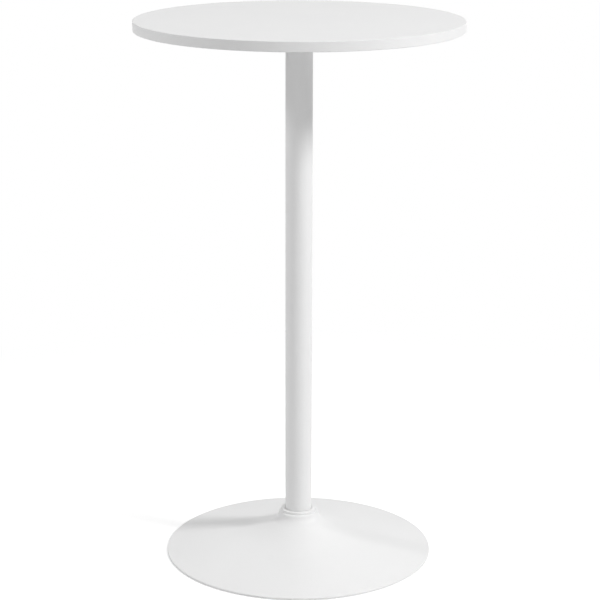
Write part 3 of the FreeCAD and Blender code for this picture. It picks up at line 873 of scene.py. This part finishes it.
def topPlatePiece():
    # laser-cut plate whose edges the powder coat has rounded
    spec = topPlate
    low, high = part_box("top_plate")

    def square(inset, level):
        radius = spec["cornerRadius"] - inset
        centre = (high.x - spec["cornerRadius"]) * math.sqrt(2)
        loop = []
        for quarter in range(4):
            side = math.pi / 4 + math.pi / 2 * quarter
            for step in range(spec["cornerSteps"] + 1):
                turn = math.pi / 2 * (quarter + step / spec["cornerSteps"])
                x = centre * math.cos(side) + radius * math.cos(turn)
                y = centre * math.sin(side) + radius * math.sin(turn)
                loop.append((x, y, level))
        return loop

    def hole(x, y):
        turns = [2 * math.pi * step / spec["holeSteps"] for step in range(spec["holeSteps"])]

        def outline(inset, level):
            radius = spec["holeRadius"] + inset
            return [(x + radius * math.cos(turn), y + radius * math.sin(turn), level) for turn in turns]
        return outline

    places = fourPlaces("top_plate_screws", plateScrew["radius"])
    outlines = [square, *(hole(x, y) for x, y, _ in places)]
    points, faces, lowEnds, highEnds = [], [], [], []
    for outline in outlines:
        loops = wallLoops(outline, low.z, high.z)
        faces += bandFaces(len(points), loops)
        lowEnds.append((loops[0], len(points)))
        points += [place for loop in loops for place in loop]
        highEnds.append((loops[-1], len(points) - len(loops[-1])))
    for ends in (lowEnds, highEnds):
        corners = [first + step for loop, first in ends for step in range(len(loop))]
        triangles = tessellate_polygon([[Vector(place) for place in loop] for loop, _ in ends])
        faces += [tuple(corners[index] for index in triangle) for triangle in triangles]
    flatFaced(meshPiece("topPlate", points, faces, "white_powder_coat", "top_plate"))


topPlatePiece()
print("stage: plate under the top")


# floor, lamps, world and camera

studio = {
    "floorHalf": 30.0,
    "floorGrey": 0.80,
    "floorGlow": 0.42,
    "floorFade": (0.7, 1.5),  # from the column
    "world": 0.274,
    "aim": (0.0, 0.0, 0.5),
}

# toward x and y, elevation in degrees, distance, width, level at the aim
lamps = {
    "key": {"toward": (0.90, -0.43), "elevation": 38.5, "distance": 6.0, "width": 1.3, "level": 0.609},
    "fill": {"toward": (-0.995, 0.09), "elevation": 34.5, "distance": 3.4, "width": 0.5, "level": 0.168},
    "soft": {"toward": (-0.92, -0.40), "elevation": 32, "distance": 3.4, "width": 2.6, "level": 0.126},
    "back": {"toward": (0.3, 1.0), "elevation": 45, "distance": 4.2, "width": 2.4, "level": 0.112},
    "front": {"toward": (0.1, -1.0), "elevation": 33, "distance": 5.0, "width": 2.6, "level": 0.049},
    "high": {"toward": (0.25, -1.0), "elevation": 60, "distance": 5.0, "width": 2.6, "level": 0.077},
}


def softbox(name, spec):
    # a round lamp that faces the aim; its power grows with distance to keep the level there
    rise = math.radians(spec["elevation"])
    flat = Vector((*spec["toward"], 0)).normalized()
    back = flat * math.cos(rise) + Vector((0, 0, math.sin(rise)))
    data = bpy.data.lights.new(name, "AREA")
    data.shape = "DISK"
    data.size = spec["width"]
    data.energy = spec["level"] * (math.pi * spec["distance"]) ** 2
    lamp = bpy.data.objects.new(name, data)
    lamp.location = Vector(studio["aim"]) + back * spec["distance"]
    lamp.rotation_mode = "QUATERNION"
    lamp.rotation_quaternion = (-back).to_track_quat("-Z", "Y")
    bpy.context.scene.collection.objects.link(lamp)


for name, spec in lamps.items():
    softbox(name, spec)


def seenDirectly(finish):
    # 1 where the camera, a mirror or glass looks at the backdrop
    rays = finish.node("LightPath").socket.node
    kinds = ("Is Camera Ray", "Is Glossy Ray", "Is Transmission Ray")
    camera, glossy, clear = (Wire(finish, rays.outputs[kind]) for kind in kinds)
    return finish.maths("MAXIMUM", finish.maths("MAXIMUM", camera, glossy), clear)


def floorFinish():
    # lit paint for the object; the camera sees it glow, and fade to white further out
    grey = studio["floorGrey"]
    finish = newFinish("paleFloor")
    paint = finish.node("BsdfDiffuse", None, {"Color": (grey, grey, grey, 1)})
    glow = finish.node("Emission", None, {"Color": (1, 1, 1, 1), "Strength": studio["floorGlow"]})
    lit = finish.node("AddShader", None, {0: paint, 1: glow})
    white = finish.node("Emission", None, {"Color": (1, 1, 1, 1), "Strength": 1.0})
    distance = finish.node("VectorMath", {"operation": "LENGTH"}, {0: finish.place()}, out="Value")
    fade = finish.ramped(distance, *studio["floorFade"])
    faded = finish.node("MixShader", None, {0: fade, 1: lit, 2: white})
    return finish.finished(finish.node("MixShader", None, {0: seenDirectly(finish), 1: paint, 2: faded}))


def paleFloor():
    half = studio["floorHalf"]
    mesh = bpy.data.meshes.new("floor")
    corners = [(-half, -half, 0), (half, -half, 0), (half, half, 0), (-half, half, 0)]
    mesh.from_pydata(corners, [], [(0, 1, 2, 3)])
    mesh.materials.append(floorFinish())
    floor = bpy.data.objects.new("floor", mesh)
    bpy.context.scene.collection.objects.link(floor)


def whiteWorld():
    room = Finish(bpy.data.worlds.new("whiteRoom"))
    light = room.node("Background", None, {"Color": (1, 1, 1, 1), "Strength": studio["world"]})
    backdrop = room.node("Background", None, {"Color": (1, 1, 1, 1), "Strength": 1.0})
    mixed = room.node("MixShader", None, {0: seenDirectly(room), 1: light, 2: backdrop})
    return room.finished(mixed, "OutputWorld")


# metres and degrees; focal length and image in pixels, sensor in millimetres
photoCamera = {
    "place": (0.0023, -3.48852, 1.44908),
    "pitch": 15.28,
    "roll": 0.12,
    "focalPixels": 1932.33,
    "imagePixels": 600,
    "sensor": 36.0,
    "clip": (0.05, 100.0),
}


def cameraAtPhoto():
    spec = photoCamera
    data = bpy.data.cameras.new("camera")
    data.sensor_width = spec["sensor"]
    data.lens = spec["focalPixels"] / spec["imagePixels"] * spec["sensor"]
    data.clip_start, data.clip_end = spec["clip"]
    camera = bpy.data.objects.new("camera", data)
    tilt = Matrix.Rotation(math.radians(90 - spec["pitch"]), 4, "X")
    roll = Matrix.Rotation(math.radians(spec["roll"]), 4, "Z")
    camera.matrix_world = Matrix.Translation(spec["place"]) @ tilt @ roll
    bpy.context.scene.collection.objects.link(camera)
    return camera


paleFloor()
bpy.context.scene.world = whiteWorld()
bpy.context.scene.camera = cameraAtPhoto()
bpy.context.scene.view_settings.view_transform = "Standard"
print("stage: floor, lamps and camera")
